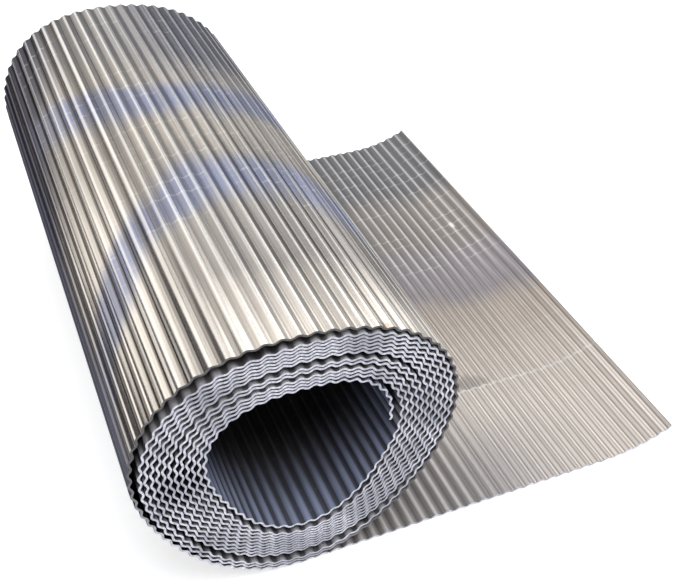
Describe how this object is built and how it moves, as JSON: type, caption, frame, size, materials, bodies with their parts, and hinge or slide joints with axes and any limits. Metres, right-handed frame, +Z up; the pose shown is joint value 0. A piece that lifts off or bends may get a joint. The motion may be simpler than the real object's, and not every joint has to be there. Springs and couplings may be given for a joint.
{
  "type": "corrugated metal sheet roll",
  "caption": "Soft metal sheet with fine waves across it, loosely wound into an open roll that lies on its own unrolled tail, for cutting and dressing into flashings.",
  "frame": {"origin": "middle of the part's footprint, on the floor that it lies on", "axes": "+X from the roll towards the free end of the tail, +Y along the waves and the roll's axis, +Z up"},
  "size_m": [0.2542, 0.3, 0.1283],
  "materials": {
    "sheet_metal": "satin"
  },
  "bodies": {
    "root": {"corrugated_sheet": "sheet_metal"}
  },
  "joints": []
}
